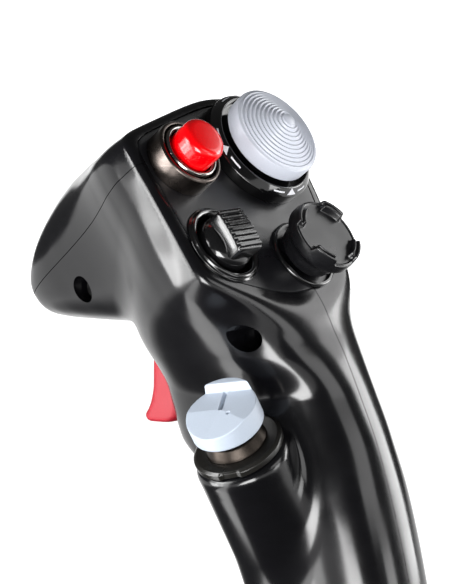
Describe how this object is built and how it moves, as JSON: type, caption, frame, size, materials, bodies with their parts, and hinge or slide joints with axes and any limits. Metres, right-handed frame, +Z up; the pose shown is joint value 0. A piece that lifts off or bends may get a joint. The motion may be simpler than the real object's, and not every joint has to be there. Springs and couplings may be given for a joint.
{
  "type": "flight joystick grip",
  "caption": "Right-hand flight-stick grip with a sloping button panel, thumb hats, a push button, a side hat on a tube, a trigger and a threaded ring nut for its base.",
  "frame": {"origin": "on the ring nut's axis at the top of its thread, 0.1 mm below the spigot's flat face, where the grip seats on its base", "axes": "+Z up the grip, +Y forward to the trigger and nose, +X to the pilot's right"},
  "size_m": [0.0711, 0.1265, 0.2035],
  "materials": {
    "shell_black": "glossy black moulded ABS",
    "panel_black": "satin black",
    "circuit_board": "green solder mask",
    "chip_epoxy": "black epoxy",
    "wire_pvc": "black PVC sleeve",
    "steel_ballast": "milled steel",
    "spigot_aluminium": "turned",
    "nut_aluminium": "black anodised",
    "plug_plastic": "black nylon",
    "pin_brass": "gold plated",
    "screw_steel": "black oxide",
    "gunmetal": "brushed, dark nickel plate",
    "chrome": "polished",
    "button_red": "glossy",
    "switch_plastic": "moulded",
    "spring_steel": "bright wire",
    "bezel_black": "glossy",
    "cap_grey": "satin light grey",
    "stem_steel": "turned steel",
    "hat_black": "satin-gloss",
    "flange_black": "black anodised look",
    "cap_white": "satin cool white",
    "trigger_crimson": "satin crimson"
  },
  "bodies": {
    "grip": {"left_shell": "shell_black", "right_shell": "shell_black", "nose_cover": "shell_black", "panel_plate": "panel_black", "head_board": "circuit_board", "main_board": "circuit_board", "board_chip": "chip_epoxy", "wiring_loom": "wire_pvc", "ballast_weight": "steel_ballast", "mount_spigot": "spigot_aluminium", "plug_body": "plug_plastic", "plug_pins": "pin_brass", "shell_screws": "screw_steel", "red_button_collar": "gunmetal", "red_button_bezel": "chrome", "red_button_switch": "switch_plastic", "red_button_spring": "spring_steel", "trim_bezel": "bezel_black", "trim_switch": "switch_plastic", "weapon_bezel": "bezel_black", "weapon_switch": "switch_plastic", "castle_base": "bezel_black", "castle_switch": "switch_plastic", "crown_flange": "flange_black", "crown_collar": "gunmetal", "crown_switch": "switch_plastic", "trigger_pin": "stem_steel", "trigger_spring": "spring_steel", "trigger_switch": "switch_plastic"},
    "ring_nut": {"ring_nut": "nut_aluminium"},
    "trigger": {"trigger": "trigger_crimson"},
    "red_button": {"red_button_cap": "button_red"},
    "trim_ring": {"trim_gimbal": "stem_steel"},
    "trim_hat": {"trim_cap": "cap_grey", "trim_stem": "stem_steel"},
    "weapon_ring": {"weapon_gimbal": "stem_steel"},
    "weapon_hat": {"weapon_dome": "hat_black", "weapon_pad": "hat_black", "weapon_stem": "stem_steel"},
    "castle_ring": {"castle_gimbal": "stem_steel"},
    "castle_hat": {"castle_cap": "hat_black", "castle_stem": "stem_steel"},
    "crown_ring": {"crown_gimbal": "stem_steel"},
    "crown_hat": {"crown_cap": "cap_white", "crown_stem": "stem_steel"}
  },
  "joints": [
    {"name": "nut_spin", "type": "hinge", "parent": "grip", "child": "ring_nut", "pos_m": [0, 0, 0], "axis": [0, 0, 1], "continuous": true},
    {"name": "trigger_pull", "type": "hinge", "parent": "grip", "child": "trigger", "pos_m": [0, 0.054, 0.125], "axis": [-1, 0, 0], "range_deg": [0, 7], "stiffness_Nm_per_rad": 1.2, "springref_deg": -5.73, "deforming": ["trigger_spring"]},
    {"name": "red_button_press", "type": "slide", "parent": "grip", "child": "red_button", "axis": [0, 0.8192, -0.5736], "range_m": [0, 0.0025], "stiffness_N_per_m": 900, "springref_m": -0.001, "deforming": ["red_button_spring"]},
    {"name": "trim_fore_aft", "type": "hinge", "parent": "grip", "child": "trim_ring", "pos_m": [0.0071, 0.03358, 0.17872], "axis": [1, 0, 0], "range_deg": [-6, 6], "stiffness_Nm_per_rad": 0.25},
    {"name": "trim_left_right", "type": "hinge", "parent": "trim_ring", "child": "trim_hat", "pos_m": [0.0071, 0.03358, 0.17872], "axis": [0, 0.5736, 0.8192], "range_deg": [-6, 6], "stiffness_Nm_per_rad": 0.25},
    {"name": "weapon_fore_aft", "type": "hinge", "parent": "grip", "child": "weapon_ring", "pos_m": [-0.0247, 0.02499, 0.15337], "axis": [1, 0, 0], "range_deg": [-7, 7], "stiffness_Nm_per_rad": 0.25},
    {"name": "weapon_left_right", "type": "hinge", "parent": "weapon_ring", "child": "weapon_hat", "pos_m": [-0.0247, 0.02499, 0.15337], "axis": [0, 0.5736, 0.8192], "range_deg": [-7, 7], "stiffness_Nm_per_rad": 0.25},
    {"name": "castle_fore_aft", "type": "hinge", "parent": "grip", "child": "castle_ring", "pos_m": [0.0026, 0.02038, 0.14854], "axis": [1, 0, 0], "range_deg": [-6, 6], "stiffness_Nm_per_rad": 0.25},
    {"name": "castle_left_right", "type": "hinge", "parent": "castle_ring", "child": "castle_hat", "pos_m": [0.0026, 0.02038, 0.14854], "axis": [0, 0.5736, 0.8192], "range_deg": [-6, 6], "stiffness_Nm_per_rad": 0.25},
    {"name": "crown_fore_aft", "type": "hinge", "parent": "grip", "child": "crown_ring", "pos_m": [-0.02661, 0.01518, 0.10322], "axis": [-0.0213, 0.9992, 0.0327], "range_deg": [-6, 6], "stiffness_Nm_per_rad": 0.25},
    {"name": "crown_left_right", "type": "hinge", "parent": "crown_ring", "child": "crown_hat", "pos_m": [-0.02661, 0.01518, 0.10322], "axis": [-0.838, 0, -0.5457], "range_deg": [-6, 6], "stiffness_Nm_per_rad": 0.25}
  ]
}
